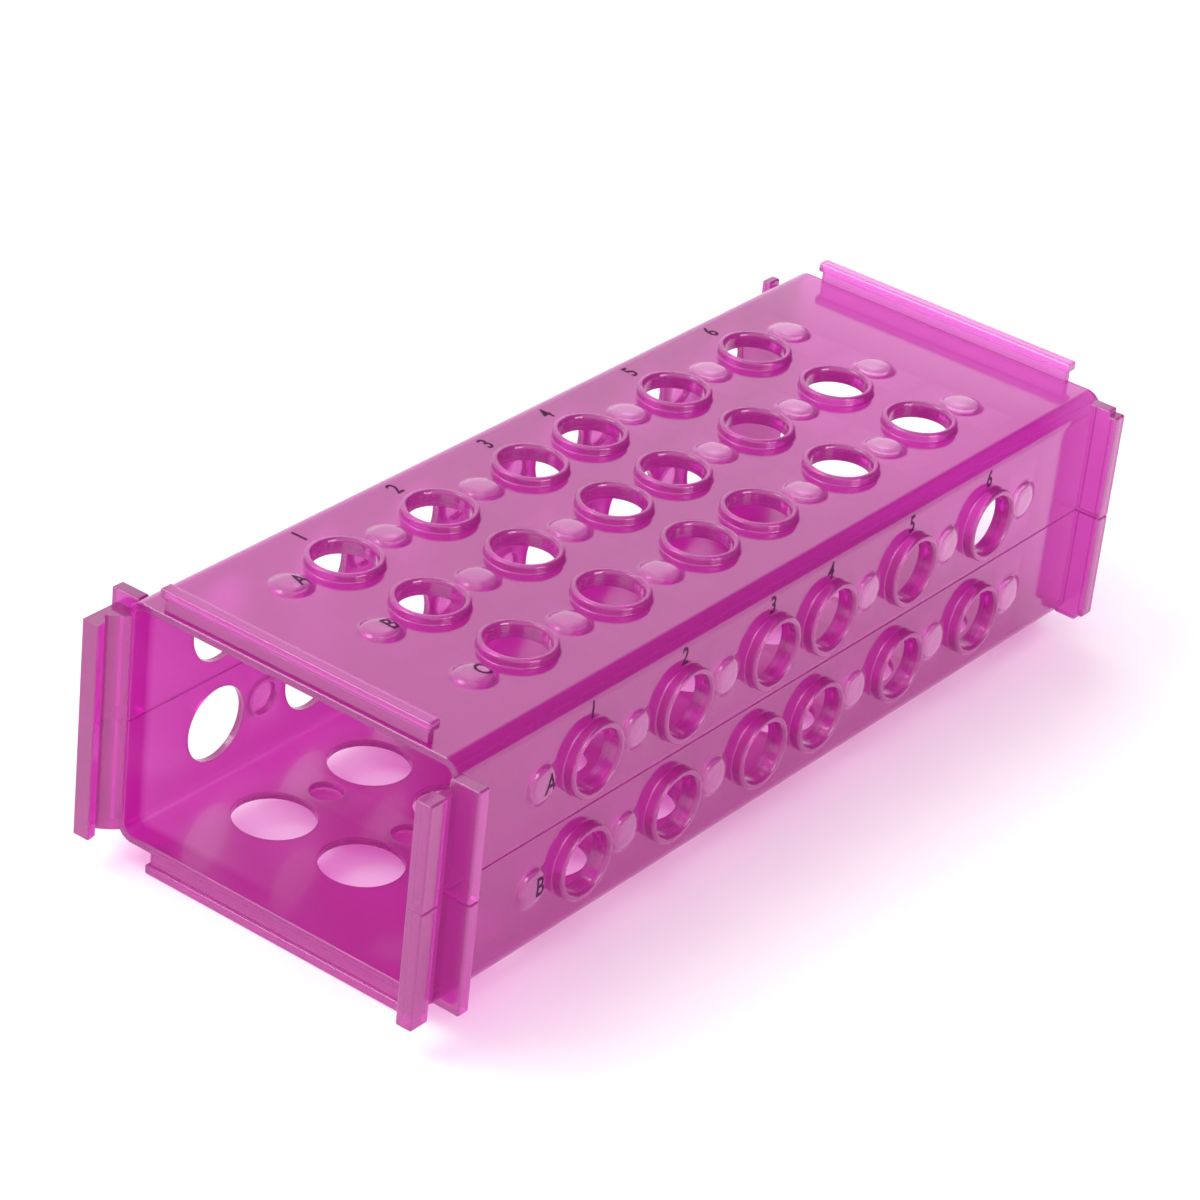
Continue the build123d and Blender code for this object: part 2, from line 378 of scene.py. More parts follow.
print("a bend takes", round(BEND, 2), "mm of the card, in", BEND_STEPS, "steps")

# %% [markdown]
# ## The shell of one half
# Three panels, two bends and two joints make one half, and a strip round the wall's thickness
# closes each of its open ends. The shells of the two halves differ only in their panel: the upper
# one has collared bores on the columns, the lower one has wide plain holes between them, and the
# seats take the other places. So one function makes both.

# %% The shell of one half
def half_shell(collared_panel):
    """All patches of one half, without its ribs and rails."""
    seat = (CUP, RECESS)
    if collared_panel:
        top_x, top_breaks = stations(TOP_BORE / 2 + COLLAR_WALL, SEAT_RADIUS)
        top = (TOP_ROWS, collared(TOP_BORE, TOP_COLLAR)), (BOTTOM_ROWS, *seat)
    else:
        top_x, top_breaks = stations(SEAT_RADIUS, BOTTOM_BORE / 2)
        top = (TOP_ROWS, *seat), (BOTTOM_ROWS, plain(BOTTOM_BORE))
    front_x, front_breaks = stations(FRONT_BORE / 2 + COLLAR_WALL, SEAT_RADIUS)
    back_x, back_breaks = stations(SEAT_RADIUS, BACK_BORE / 2)
    row = card_s(SIDE_ROW_Z)
    grids = panel(top_breaks, TOP_EDGES, *top)
    grids += panel(front_breaks, -WALL_EDGES[::-1],
                   ([-row], collared(FRONT_BORE, FRONT_COLLAR)), ([-row], *seat))
    grids += panel(back_breaks, WALL_EDGES, ([row], *seat), ([row], plain(BACK_BORE)))
    across = [np.linspace(a, b, SIDE + 1) for a, b in zip(TOP_EDGES[:-1], TOP_EDGES[1:])]
    for side, wall_x in ((-1, front_x), (1, back_x)):
        skins, lines = bend_and_joint(side, top_x, wall_x)
        grids += skins
        across += lines
    s = np.unique(np.concatenate(across).round(9))
    for x, inwards in ((NEAR_X, EDGE), (FAR_X, -EDGE)):
        grids.append(np.stack([line(x + inwards, s, 0), line(x, s, -EDGE),
                               line(x, s, EDGE - WALL), line(x + inwards, s, -WALL)]))
    return [fold(grid) for grid in grids]


print("patches in a half:", len(half_shell(True)))

# %% [markdown]
# ## Bars
# Rails, ribs and beads are bars with rounded edges. A ball cut into eight and pulled apart gives
# one closed surface with round corners, ready for the union. The hook has a drawn outline
# instead, so it is a plate raised from that outline.

# %% Bars
def ball_box(u, v, z, radius, place):
    """Rounded box: a ball cut into eight, its eighths pulled apart to the box's corners.

    A point is centre + sign * (half size - radius) + radius * direction, with the sign of the
    direction's octant, so that flat sides open between the eighths.
    """
    low, high = np.array([u[0], v[0], z[0]], float), np.array([u[1], v[1], z[1]], float)
    quarter = np.linspace(0, math.pi / 2, SOFT + 1)
    around = np.concatenate([quarter + k * math.pi / 2 for k in range(4)] + [[2 * math.pi]])
    sign_u = np.repeat([1, -1, -1, 1, 1], [SOFT + 1] * 4 + [1])
    sign_v = np.repeat([1, 1, -1, -1, 1], [SOFT + 1] * 4 + [1])
    rise = np.concatenate([quarter - math.pi / 2, quarter])[:, None]
    sign_z = np.repeat([-1, 1], SOFT + 1)[:, None]
    direction = np.stack(np.broadcast_arrays(
        np.cos(rise) * np.cos(around), np.cos(rise) * np.sin(around), np.sin(rise)), axis=-1)
    sign = np.stack(np.broadcast_arrays(sign_u, sign_v, sign_z), axis=-1)
    points = (low + high) / 2 + sign * ((high - low) / 2 - radius) + radius * direction
    return sew("bar", [place(points)])


def prism(outline, z0, z1, place):
    """Upright plate: the outline's points at height z0 and again at z1."""
    ring = np.concatenate([outline, outline[:1]])
    rows = [np.concatenate([ring, np.full((len(ring), 1), z)], axis=1) for z in (z0, z1)]
    return sew("plate", [place(np.stack(rows))], corners=len(outline))


print("a bar has", 8 * (SOFT + 1) ** 2, "points before its poles are merged")

# %% [markdown]
# ## Rails
# A rail crosses both ends of each panel. The rack stands on the two lower ones. A rail is a thin
# web with a thicker crest, so it could be one extruded outline, but two bars let each have its
# own edge radius. The web starts a little inside the wall, so that the union has something to
# bite on.

# %% Rails
INTO_WALL = -0.7        # where a bar starts, below the outer skin
ROUND, CREST_ROUND, SHARP = 0.4, 0.45, 0.1      # edge radii
RAIL_INSET = 1.3        # from the end of the rack to the rail's middle
WEB = (0.7, 27.0, INTO_WALL, 3.4)       # half thickness, half length, bottom and top
CREST = (1.3, 27.7, 2.5, 4.3)


def rail(x):
    """Web and crest across the panel at x."""
    return [ball_box((x - thick, x + thick), (-long, long),
                     (HALF_HEIGHT + bottom, HALF_HEIGHT + top), radius, lambda points: points)
            for (thick, long, bottom, top), radius in ((WEB, SHARP), (CREST, CREST_ROUND))]


print("the rails stand", CREST[3], "mm above the panels")

# %% [markdown]
# ## Near flanges
# Upright flanges stand at the four corners, probably to couple racks side by side. At the near
# end these are a bead on the front wall, and a hook with a curved ramp on the back wall. They
# are drawn in (u, v): u past the end of the rack, v out of the side wall. The hook is drawn as
# an outline, because no stack of boxes has such a ramp. Both end at another height in the upper
# half than in the lower one.

# %% Near flanges
RIB_V = (INTO_WALL, 5.2)
RIB_HEIGHT, NEAR_RIB_HEIGHT = 21.6, 20.5
NEAR_HEIGHTS = {1: (19.5, 19.3), -1: (21.5, 20.8)}      # bead and hook, above and below
BEAD_RIB_U, NECK_U, BEAD_U, BEAD_V = (-1.2, 1.4), (-0.7, 6.5), (4.4, 8.6), (-WALL, 1.8)
NECK_DROP = 1.2                         # the neck ends this much below the bead
HOOK_RIB_U, HOOK_BACK = (-4.2, -1.6), (-2.9, 3.8)
CATCH = [(4.4, 0.7, 0.3), (6.4, 0.4, 0.4), (6.4, 3.8, 0.3)]        # u, v, setback
RAMP_START, RAMP_SIZE, RAMP_POWER, RAMP_STEPS = (-1.2, -1.35), (4.2, 3.7), 1.7, 16


def at_end(x, end, side):
    """Moves (past the end, out of the wall, up) points to one corner of the rack."""
    return lambda p: p * np.array([end, side, 1]) + np.array([x, side * HALF_WIDTH, 0])


def bead_flange(place, height):
    """Rib, neck and bead."""
    return [ball_box(BEAD_RIB_U, RIB_V, (SEAM_GAP, NEAR_RIB_HEIGHT), ROUND, place),
            ball_box(NECK_U, (-WALL, 0), (SEAM_GAP, height - NECK_DROP), SHARP, place),
            ball_box(BEAD_U, BEAD_V, (SEAM_GAP, height), ROUND, place)]


def hook_flange(place, height):
    """Rib and hook.

    The ramp is start + size * (t, t^power), which bulges inwards.
    """
    t = np.linspace(0, 1, RAMP_STEPS + 1)
    ramp = RAMP_START + RAMP_SIZE * np.stack([t, t ** RAMP_POWER], axis=-1)
    catch = soften([(*ramp[-1], 0), *CATCH, (*HOOK_BACK, 0)])
    outline = np.concatenate([[(HOOK_BACK[0], INTO_WALL)], ramp, catch[1:]])
    return [ball_box(HOOK_RIB_U, RIB_V, (SEAM_GAP, RIB_HEIGHT), ROUND, place),
            prism(outline, SEAM_GAP, height, place)]


print("the bead reaches", BEAD_U[1], "mm past the end")

# %% [markdown]
# ## Far flanges
# Both far flanges are L-shaped: a web, and a cap that turns back over it. Two bars are enough,
# and the union makes them one. The rails and all flanges of a half are then listed together.

# %% Far flanges and all bars
FAR_FRONT_HEIGHTS, FAR_BACK_HEIGHTS = (21.6, 20.5), (18.1, 19.1)     # web and cap
FAR_WEB, FAR_CAP = ((-3.2, -0.6), (INTO_WALL, 3.7)), ((-3.2, 0), (3.3, 5.2))      # u, then v


def far_flange(place, web_height, cap_height):
    """Web and the cap that turns back over it."""
    return [ball_box(*FAR_WEB, (SEAM_GAP, web_height), ROUND, place),
            ball_box(*FAR_CAP, (SEAM_GAP, cap_height), ROUND, place)]


def bars(bead_height, hook_height):
    """All rails and flanges of one half."""
    pieces = rail(NEAR_X + RAIL_INSET) + rail(FAR_X - RAIL_INSET)
    pieces += bead_flange(at_end(NEAR_X, -1, -1), bead_height)
    pieces += hook_flange(at_end(NEAR_X, -1, 1), hook_height)
    pieces += far_flange(at_end(FAR_X, 1, -1), *FAR_FRONT_HEIGHTS)
    pieces += far_flange(at_end(FAR_X, 1, 1), *FAR_BACK_HEIGHTS)
    return pieces


print("the far flanges reach", FAR_CAP[1][1], "mm out of the walls")

# %% [markdown]
# ## The two halves
# Both halves come from the same steps. The upper one has collared bores in its panel and the
# lower one wide plain holes, and the lower one is mirrored. Sharp edges are kept sharp and the
# long softened ones get even normals, so that flat walls stay flat in reflections.

# %% Make both halves
SHARP_ANGLE = 35


def make_half(name, collared_panel, upside):
    """Finished half: shell and bars in one, mirrored for the lower half, lifted to the joint."""
    shell = sew(name, half_shell(collared_panel))
    parts = bars(*NEAR_HEIGHTS[upside])
    piece = unite(shell, [unite(parts[0], parts[1:])])
    co = np.empty(len(piece.data.vertices) * 3)
    piece.data.vertices.foreach_get("co", co)
    co = co.reshape(-1, 3) * np.array([1, 1, upside]) + np.array([0, 0, SEAM_Z * MM])
    piece.data.vertices.foreach_set("co", co.ravel())
    if upside < 0:
        piece.data.flip_normals()
    piece.data.update()
    piece.name = name
    return piece


upper = make_half("moulded_upper_half", True, 1)
lower = make_half("moulded_lower_half", False, -1)
for piece, node in ((upper, "upper_half"), (lower, "lower_half")):
    piece.data.shade_smooth()
    piece.data.set_sharp_from_angle(angle=math.radians(SHARP_ANGLE))
    even = piece.modifiers.new("even normals", "WEIGHTED_NORMAL")
    even.keep_sharp = True
    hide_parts(node)
    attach(piece, "root")
    print(piece.name, len(piece.data.polygons), "faces",
          sum(len(p.vertices) - 2 for p in piece.data.polygons), "triangles")

# %% [markdown]
# ## Colours and nodes
# A colour is written as the hex code that a screen shows. The renderer reckons with light, which
# is not in step with those codes, so one function turns each code into linear values. A second
# one adds a node with its settings and links, which keeps every material readable.

# %% Colours and nodes
def from_hex(code):
    """Linear colour of an sRGB hex code: each channel goes through the sRGB curve."""
    channels = np.array([int(code[i:i + 2], 16) / 255 for i in (1, 3, 5)])
    linear = np.where(channels <= 0.04045, channels / 12.92, ((channels + 0.055) / 1.055) ** 2.4)
    return [*linear.tolist(), 1.0]


def add_node(tree, kind, traits=None, settings=None, links=None):
    """Adds one node, sets its traits and its inputs, and links other outputs into it."""
    node = tree.nodes.new(kind)
    for name, value in (traits or {}).items():
        setattr(node, name, value)
    for name, value in (settings or {}).items():
        node.inputs[name].default_value = value
    for name, source in (links or {}).items():
        tree.links.new(source, node.inputs[name])
    return node


print("mid grey is", [round(v, 3) for v in from_hex("#808080")])

# %% [markdown]
# ## Pale places
# Tinted plastic is paler where it is thinner. The floor of a seat is half as thick as the wall,
# and the volume alone shows too little of this. The rims, ribs and rails are made paler too, and
# that is painted light. So every point gets a number "pale" from 0 to 1 for both, and a second
# one, "inner", marks the inner skin. Both could be painted by hand, but worked out from the sizes
# they stay right when a size changes.

# %% Where the seats are
ON_SKIN, OFF_SKIN = 0.01, 0.1           # up to here a point lies on a skin; from here it is off
AROUND = 0.5                            # what still belongs to a collar's foot or a rail's foot
SIDE_ROWS = SIDE_ROW_Z * np.array([-1, 1])


def near_a_collar(x, up):
    """True within the reach of the front's collars and seats."""
    dx = np.abs(x[:, None] - np.concatenate([COLUMNS, SEATS])).min(axis=1)
    return np.hypot(dx, np.abs(up) - SIDE_ROW_Z) < FRONT_BORE / 2 + COLLAR_WALL + AROUND


def seat_distance(x, y, up):
    """Distance to the nearest seat of the wall that a point lies on."""
    on_panel = np.abs(up) > HALF_HEIGHT - WALL - ON_SKIN
    on_front, on_back = -y > HALF_WIDTH - WALL - ON_SKIN, y > HALF_WIDTH - WALL - ON_SKIN
    far = np.full(len(x), np.inf)
    for on_wall, columns, rows, across in (
            (on_panel & (up > 0), SEATS, BOTTOM_ROWS, y),
            (on_panel & (up < 0), COLUMNS, TOP_ROWS, y),
            (on_front & ~on_panel, SEATS, SIDE_ROWS, up),
            (on_back & ~on_panel, COLUMNS, SIDE_ROWS, up)):
        dx = np.abs(x[:, None] - columns).min(axis=1)
        dy = np.abs(across[:, None] - rows).min(axis=1)
        far = np.where(on_wall, np.hypot(dx, dy), far)
    return far


print("a top seat's middle is", seat_distance(
    SEATS[:1], BOTTOM_ROWS[:1], np.array([HALF_HEIGHT])), "mm from a seat")

# %% [markdown]
# With that distance each seat gets a soft round pale spot. Bars, collars and everything at the
# far end get a paleness of their own, which is painted light: a painted highlight on the collars
# and everything raised off the skin, and paler bars and far end.

# %% Mark the pale places
SEAT_CORE, SEAT_EDGE = 2.4, 4.2         # from a seat's middle: the fade begins, and has ended
# A seat's own paleness is its thin floor; the growth from the first seat to the last is painted
# light.
SEAT_PALE = (0.35, 1.0)                 # of the first and the last seat along the rack
# Painted light on the bars, and a painted highlight on the collars and everything raised off the
# skin.
BAR_PAINTED_LIGHT, COLLAR_PAINTED_HIGHLIGHT = 0.18, 0.1
# Painted light on everything at the far end, and more of it on the far rails.
FAR_END_PAINTED_LIGHT, FAR_RAIL_PAINTED_LIGHT = 0.35, 1.0
FAR_FLANGE = 4.0                        # depth of the far flanges and rails


def mark_pale(piece):
    """Point attributes "pale" and "inner".

    On a seat pale is its value times 1 - t^2 (3 - 2t), where t runs from 0 to 1 over its rim.
    The value grows along the rack, because the far seats look lighter on the real one: painted
    light, not thinness.
    """
    co = np.empty(len(piece.data.vertices) * 3)
    piece.data.vertices.foreach_get("co", co)
    x, y, z = (co / MM).reshape(-1, 3).T
    up = z - SEAM_Z
    t = np.clip((seat_distance(x, y, up) - SEAT_CORE) / (SEAT_EDGE - SEAT_CORE), 0, 1)
    # Seat spots: thin floors, with painted light growing along the rack.
    pale = np.interp(x, (SEATS[0], SEATS[-1]), SEAT_PALE) * (1 - t * t * (3 - 2 * t))
    # Everything raised off the outer skin, collars and rims first, gets a painted highlight.
    raised = (np.abs(up) > HALF_HEIGHT + OFF_SKIN) | (-y > HALF_WIDTH + OFF_SKIN)
    pale = np.where(raised, np.maximum(pale, COLLAR_PAINTED_HIGHLIGHT), pale)
    # Rails, ribs and beads get painted light.
    on_bar = ((np.abs(y) > HALF_WIDTH + ON_SKIN) & ~near_a_collar(x, up)
              | (np.abs(up) > HALF_HEIGHT + TOP_COLLAR + OFF_SKIN) | (x < NEAR_X - OFF_SKIN))
    pale = np.where(on_bar, BAR_PAINTED_LIGHT, pale)
    # The far end and its rails get painted light.
    at_far_end = x > FAR_X - FAR_FLANGE
    pale = np.where(at_far_end, FAR_END_PAINTED_LIGHT, pale)
    pale = np.where(at_far_end & (np.abs(up) > HALF_HEIGHT + AROUND), FAR_RAIL_PAINTED_LIGHT, pale)
    inner = (np.abs(y) < HALF_WIDTH - WALL / 2) & (np.abs(up) < HALF_HEIGHT - WALL / 2)
    for name, values in (("pale", pale), ("inner", inner.astype(float))):
        attribute = piece.data.attributes.new(name, "FLOAT", "POINT")
        attribute.data.foreach_set("value", values)
    print(piece.name, "mean paleness", round(float(pale.mean()), 3))


for piece in (upper, lower):
    mark_pale(piece)

# %% [markdown]
# ## The plastic
# The real halves are moulded from a clear magenta plastic, taken here for polycarbonate. They
# look polished outside and finely matt inside, so the outer skin gets crisp reflections and the
# inner one a haze. The inner skin is also painted paler behind the open near end, towards the
# back wall. This is painted light, for the light that comes in through that end, and it is a
# product of three fades. It could be painted by hand, but fades in nodes need no points of their
# own and can be changed by one number.

# %% Painted light inside
# PALE_TINT is both the thin seats' own colour and the colour of the painted light.
TINT, PALE_TINT = "#C23FA8", "#E7B3DA"
# Painted light on the inner skin, where light comes in through the open near end.
INNER_PAINTED_LIGHT, INNER_LIGHT_END = 0.6, 40.0      # paleness inside the near end, and the x where it has faded
RIB_BEHIND = (3.5, 5.5)         # past the near end: the ribs behind the wall keep it deep
BACK_LIT = 28.0                 # y from which the painted light inside is full


def fade(tree, source, start, end, to_start=0.0, to_end=1.0):
    """Runs from one value to the other while the source goes from start to end, in mm."""
    return add_node(tree, "ShaderNodeMapRange", None, {
        "From Min": start * MM, "From Max": end * MM, "To Min": to_start, "To Max": to_end},
        {"Value": source}).outputs["Result"]


def painted_inner_light(tree, inner):
    """Painted light on the inner skin, paler near the open end and towards the back wall: a
    product of fades.
    """
    coordinates = add_node(tree, "ShaderNodeTexCoord")
    place = add_node(tree, "ShaderNodeSeparateXYZ", links={
        "Vector": coordinates.outputs["Object"]})
    x, y = place.outputs["X"], place.outputs["Y"]
    inner_light = inner
    for factor in (fade(tree, x, NEAR_X + RIB_BEHIND[0], NEAR_X + RIB_BEHIND[1]),
                   fade(tree, x, NEAR_X, INNER_LIGHT_END, INNER_PAINTED_LIGHT, 0.0),
                   fade(tree, y, 0.0, BACK_LIT)):
        inner_light = add_node(tree, "ShaderNodeMath", {"operation": "MULTIPLY"},
                        links={0: inner_light, 1: factor}).outputs["Value"]
    return inner_light


print("the inside is", INNER_PAINTED_LIGHT, "pale at the near end")

# %% [markdown]
# Light passes the thin walls, which is why the shadows are pink, and a little of it is
# scattered, which is why the walls never look black. The colour sits both in the surface, which
# the eye reads first, and in the volume, so that a thick rib is deeper than a wall. Glass lets
# no lamp light through in this renderer, so shadow rays get a tinted transparent surface.

# %% The plastic
OUTER_ROUGH, INNER_ROUGH = 0.12, 0.35
COAT, COAT_ROUGH = 0.25, 0.08           # the crisp reflection over the softer one
INDEX = 1.5                             # polycarbonate has 1.58; less mirrors less
CLEAR = 0.74                            # share of the light that passes; the rest is scattered
ABSORB, DENSITY = "#FC3FF9", 500.0      # per metre, so a 1.4 mm wall takes half the green
LAMP_TINT = "#E7D4E2"                   # what one skin leaves of a lamp's light


def tinted_plastic():
    """Clear plastic with a tint in its surface and in its volume."""
    material = bpy.data.materials.new("moulded clear polycarbonate, magenta")
    material.use_nodes = True
    tree = material.node_tree
    tree.nodes.clear()
    pale, inner = (add_node(tree, "ShaderNodeAttribute", {"attribute_name": name}).outputs["Fac"]
                   for name in ("pale", "inner"))
    # Paleness: the thin seats, plus painted light on rims, bars, the far end and the inside.
    paleness = add_node(tree, "ShaderNodeMath", {"operation": "ADD"},
                        links={0: pale, 1: painted_inner_light(tree, inner)}).outputs["Value"]
    # A Mix node holds one set of sockets for each data type: 6 and 7 are its colours A and B.
    tint = add_node(tree, "ShaderNodeMix", {"data_type": "RGBA"},
                    {6: from_hex(TINT), 7: from_hex(PALE_TINT)}, {0: paleness})
    rough = add_node(tree, "ShaderNodeMapRange", None,
                     {"To Min": OUTER_ROUGH, "To Max": INNER_ROUGH}, {"Value": inner})
    surface = add_node(tree, "ShaderNodeBsdfPrincipled", None, {
        "IOR": INDEX, "Transmission Weight": CLEAR, "Coat Weight": COAT,
        "Coat Roughness": COAT_ROUGH},
        {"Base Color": tint.outputs[2], "Roughness": rough.outputs["Result"]})
    volume = add_node(tree, "ShaderNodeVolumeAbsorption", None, {
        "Color": from_hex(ABSORB), "Density": DENSITY})
    lamp_way = add_node(tree, "ShaderNodeBsdfTransparent", None, {"Color": from_hex(LAMP_TINT)})
    path = add_node(tree, "ShaderNodeLightPath")
    either = add_node(tree, "ShaderNodeMixShader", links={
        0: path.outputs["Is Shadow Ray"], 1: surface.outputs[0], 2: lamp_way.outputs[0]})
    add_node(tree, "ShaderNodeOutputMaterial", links={
        "Surface": either.outputs[0], "Volume": volume.outputs[0]})
    return material


plastic = tinted_plastic()
for piece in (upper, lower, *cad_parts.values()):
    piece.data.materials.clear()
    piece.data.materials.append(plastic)
print("plastic:", plastic.name)

# %% [markdown]
# ## A printed mark
# Columns are numbered and rows lettered in a dark ink, taken here to be pad printed. Pad
# printing lays a soft stamp on the surface, so a letter follows the swell of the seat that it
# lies on. A mark could be a picture on the skin, but as a thin mesh of its own it is sharp at
# any distance. It starts as a flat text, which is divided finely so that it can bend.

# %% A flat mark
CAPITAL = 0.73                  # height of a capital letter in a text of size 1
BOLD = 0.06                     # the strokes are this much wider on both sides
INK = 0.03                      # thickness
CURVE_STEPS, CUTS = 5, 2


def flat_mark(text, height):
    """Text as a fine flat mesh about the origin, in millimetres."""
    curve = bpy.data.curves.new("mark", "FONT")
    curve.body, curve.align_x, curve.align_y = text, "CENTER", "CENTER"
    curve.size, curve.extrude, curve.offset = height / CAPITAL, INK / 2, BOLD
    curve.resolution_u = CURVE_STEPS
    letter = bpy.data.objects.new("mark", curve)
    bpy.context.collection.objects.link(letter)
    bpy.context.view_layer.update()
    mesh = bpy.data.meshes.new_from_object(letter)
    bpy.data.objects.remove(letter)
    work = bmesh.new()
    work.from_mesh(mesh)
    bmesh.ops.triangulate(work, faces=work.faces)
    bmesh.ops.subdivide_edges(work, edges=work.edges, cuts=CUTS, use_grid_fill=True)
    work.to_mesh(mesh)
    work.free()
    return mesh


print("the ink is", INK, "mm thick")

# %% [markdown]
# ## Laid on the rack
# Each point of a mark gets the height of the seat under it, and is then bent with the card's
# own formula. A Shrinkwrap modifier would also bring it to the skin, but would squeeze the ink
# to no thickness.

# %% Laid on the rack
NARROW = 0.8                    # width against the typeface's own
INK_LIFT = 0.01                 # keeps the ink's underside off the skin


def lay_mark(mesh, x, v, on_top):
    """Puts the mark at (x, v) of the top or of the front wall, and on the seat's swell.

    Its height is the ink's own plus the cup's height at the distance to the nearest seat.
    """
    co = np.empty(len(mesh.vertices) * 3)
    mesh.vertices.foreach_get("co", co)
    flat = co.reshape(-1, 3) * np.array([NARROW, 1, 1]) + np.array([x, v, INK / 2 + INK_LIFT])
    seat_rows = BOTTOM_ROWS if on_top else SIDE_ROWS
    from_seat = np.hypot(flat[:, 0] - SEATS[0], np.abs(flat[:, 1:2] - seat_rows).min(axis=1))
    flat[:, 2] += np.interp(from_seat, CUP[::-1, 0], CUP[::-1, 1])
    s = flat[:, 1] if on_top else -card_s(flat[:, 1])
    points = fold(line(flat[:, 0], s, flat[:, 2])) + np.array([0, 0, SEAM_Z])
    mesh.vertices.foreach_set("co", (points * MM).ravel())


print("a mark lies", INK_LIFT, "mm above the skin")

# %% [markdown]
# ## All the labels
# The digits stand beside their columns, and the letters on the first seats of their rows. All
# of them are one piece, because they are printed in one ink.

# %% All the labels
# Height of a mark, then its place: x from its column or first seat, and y or z.
TOP_DIGIT, TOP_DIGIT_X, TOP_DIGIT_Y = 3.4, 1.2, 28.6
FRONT_DIGIT, FRONT_DIGIT_X, FRONT_DIGIT_Z = 3.3, -0.4, 18.2
TOP_LETTER, TOP_LETTER_X, TOP_LETTER_Y = 3.3, 1.5, -0.6     # this y is from the seat
FRONT_LETTER, FRONT_LETTER_X = 3.7, 1.2
marks = [(str(n + 1), TOP_DIGIT, x + TOP_DIGIT_X, TOP_DIGIT_Y, True)
         for n, x in enumerate(COLUMNS)]
marks += [(text, TOP_LETTER, SEATS[0] + TOP_LETTER_X, y + TOP_LETTER_Y, True)
          for text, y in zip("CBA", BOTTOM_ROWS)]
marks += [(str(n + 1), FRONT_DIGIT, x + FRONT_DIGIT_X, FRONT_DIGIT_Z, False)
          for n, x in enumerate(COLUMNS)]
marks += [(text, FRONT_LETTER, SEATS[0] + FRONT_LETTER_X, z, False)
          for text, z in zip("BA", SIDE_ROWS)]
work = bmesh.new()
for text, height, x, v, on_top in marks:
    mark = flat_mark(text, height)
    lay_mark(mark, x, v, on_top)
    work.from_mesh(mark)
    bpy.data.meshes.remove(mark)
bmesh.ops.remove_doubles(work, verts=work.verts, dist=MERGE / 2 * MM)
bmesh.ops.recalc_face_normals(work, faces=work.faces)
print(len(marks), "marks,", len(work.faces), "faces,",
      sum(not edge.is_manifold for edge in work.edges), "open edges")
mesh = bpy.data.meshes.new("printed_labels")
work.to_mesh(mesh)
work.free()
labels = bpy.data.objects.new("printed_labels", mesh)
bpy.context.collection.objects.link(labels)
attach(labels, "root")

# %% [markdown]
# The ink is opaque and dries matt beside the gloss of the plastic, so it gives no reflections
# that could hide a letter.

# %% The ink
INK_COLOUR, INK_ROUGH, INK_SHINE = "#4A0A40", 0.6, 0.15


def opaque(name, colour, roughness, shine=0.5):
    """Plain opaque material; its shine is the strength of the mirror image."""
    material = bpy.data.materials.new(name)
    material.use_nodes = True
    shader = material.node_tree.nodes["Principled BSDF"]
    shader.inputs["Base Color"].default_value = from_hex(colour)
    shader.inputs["Roughness"].default_value = roughness
    shader.inputs["Specular IOR Level"].default_value = shine
    return material


labels.data.materials.append(
    opaque("pad printing ink, dark violet", INK_COLOUR, INK_ROUGH, INK_SHINE))
print("ink:", labels.data.materials[0].name)

# %% [markdown]
# ## Floor
# The rack stands on a sheet of white board. One square is enough. It is far larger than the rack
# and as white as the sky behind it, so that its edge doesn't show.

# %% Floor
FLOOR_HALF = 6.0                        # metres
BOARD_COLOUR, BOARD_ROUGH = "#FBFBFB", 0.9


def stage_floor(half):
    """Square floor at height 0."""
    mesh = bpy.data.meshes.new("floor")
    corners = np.array([(-1, -1, 0), (1, -1, 0), (1, 1, 0), (-1, 1, 0)]) * half
    mesh.from_pydata(corners, [], [(0, 1, 2, 3)])
    mesh.materials.append(opaque("white board", BOARD_COLOUR, BOARD_ROUGH))
    floor = bpy.data.objects.new("floor", mesh)
    bpy.context.collection.objects.link(floor)
    return floor


floor = stage_floor(FLOOR_HALF)
print("the floor is", 2 * FLOOR_HALF, "m wide")

# %% [markdown]
# ## Sky
# Small clear things are shot in a white tent, with one dark card held where an edge should stand
# out: the long bend above the front wall mirrors it as one deep line. Tent and card could be
# modelled, but the sky does both here. It is white all round, falls off towards the card's
# direction, and stays white for the camera itself.

# %% Sky
SKY, CARD = 1.35, 0.05                  # strengths
CARD_WAY = (0.711, -0.49, 0.49)         # direction of the dark card
CARD_FADE = (0.55, 0.7)                 # cosines of the angles where it begins and is full


def studio_sky():
    """The dot product with CARD_WAY is the cosine of a direction's angle to the card."""
    world = bpy.data.worlds.new("studio")
    bpy.context.scene.world = world
    world.use_nodes = True
    tree = world.node_tree
    way = add_node(tree, "ShaderNodeTexCoord").outputs["Generated"]
    cosine = add_node(tree, "ShaderNodeVectorMath", {"operation": "DOT_PRODUCT"},
                      {1: CARD_WAY}, {0: way})
    light = add_node(tree, "ShaderNodeMapRange", None, {
        "From Min": CARD_FADE[0], "From Max": CARD_FADE[1], "To Min": SKY, "To Max": CARD},
        {"Value": cosine.outputs["Value"]})
    path = add_node(tree, "ShaderNodeLightPath")
    # Sockets 2 and 3 of a Mix node are its plain numbers A and B.
    seen = add_node(tree, "ShaderNodeMix", None, {3: 1.0}, {
        0: path.outputs["Is Camera Ray"], 2: light.outputs["Result"]})
    background = tree.nodes["Background"]
    background.inputs["Color"].default_value = (1, 1, 1, 1)
    tree.links.new(seen.outputs[0], background.inputs["Strength"])


studio_sky()
print("sky:", bpy.context.scene.world.name)

# %% [markdown]
# ## Lamps
# Two soft lamps give the walls their gradients. One hangs high beyond the near end, on the back
# wall's side, and one stands low in front. A sun lamp would light all walls evenly instead. Both
# are weak beside the sky, so that no hard shadow falls on the board.

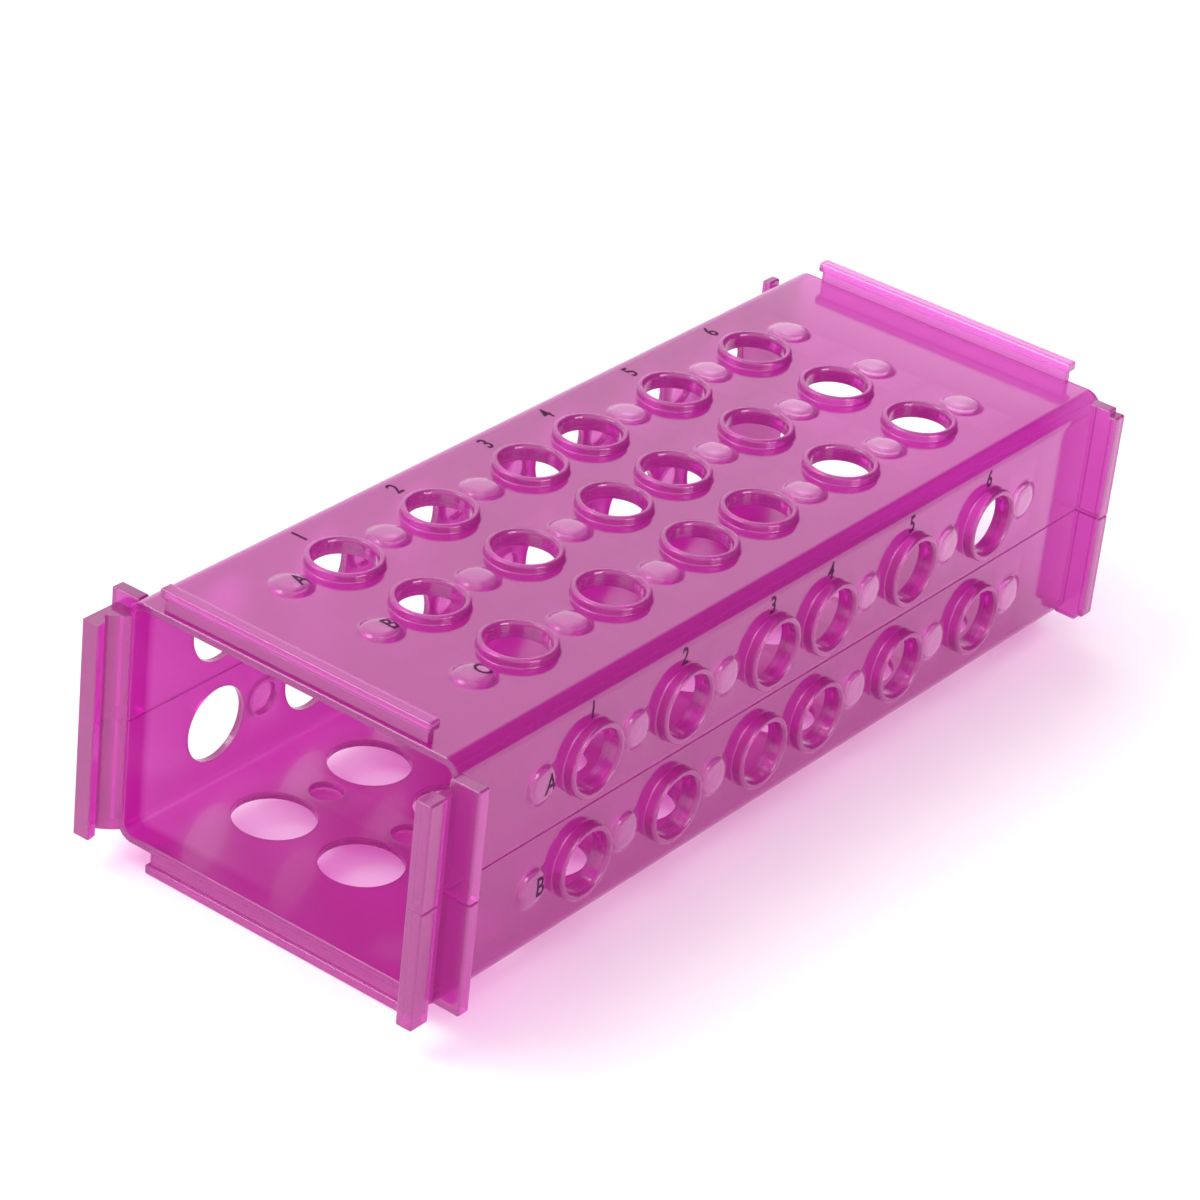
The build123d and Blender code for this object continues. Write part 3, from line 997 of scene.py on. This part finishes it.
# %% Lamps
def softbox(name, place, size, power):
    """Square area light at place, turned towards the rack."""
    data = bpy.data.lights.new(name, "AREA")
    data.size = size
    data.energy = power
    lamp = bpy.data.objects.new(name, data)
    bpy.context.collection.objects.link(lamp)
    lamp.location = place
    lamp.rotation_euler = (-Vector(place)).to_track_quat("-Z", "Y").to_euler()


# Name, place and size in metres, and power in watts.
for lamp in (("key light", (-0.5, 0.5, 0.9), 0.6, 5.0),
             ("fill light", (-0.1, -1.0, 0.45), 0.5, 5.0)):
    softbox(*lamp)

# %% [markdown]
# ## Camera
# The camera stands at the near front corner and looks down the length of the rack, with a long
# lens that keeps the edges almost parallel. Its axes come from three angles: the compass angle
# that it looks along, how far it looks down, and a slight roll.

# %% Camera
AZIMUTH, ELEVATION, ROLL = 54.754, 29.347, 6.196
LENS, SENSOR = 130.725, 36.0            # millimetres
CLIP_END = 20                           # metres, past the edge of the floor
SHIFT_X, SHIFT_Y = 0.0234225, -0.0191717
CAMERA_PLACE = Vector((-0.5312366, -0.3648952, 0.3951197))


def camera_axes(azimuth, elevation, roll):
    """Right, up and backward axes of a camera that looks along azimuth and down by elevation."""
    a, e, r = (math.radians(v) for v in (azimuth, elevation, roll))
    look = Vector((math.sin(a) * math.cos(e), math.cos(a) * math.cos(e), -math.sin(e)))
    right = Vector((math.cos(a), -math.sin(a), 0))
    up = right.cross(look)
    return (math.cos(r) * right + math.sin(r) * up, math.cos(r) * up - math.sin(r) * right, -look)


data = bpy.data.cameras.new("camera")
data.lens, data.sensor_width = LENS, SENSOR
data.shift_x, data.shift_y = SHIFT_X, SHIFT_Y
data.clip_end = CLIP_END
camera = bpy.data.objects.new("camera", data)
bpy.context.collection.objects.link(camera)
turn = Matrix(camera_axes(AZIMUTH, ELEVATION, ROLL)).transposed().to_4x4()
camera.matrix_world = Matrix.Translation(CAMERA_PLACE) @ turn
bpy.context.scene.camera = camera
bpy.context.scene.view_settings.view_transform = "Standard"
print("camera at", [round(v / MM, 1) for v in CAMERA_PLACE])
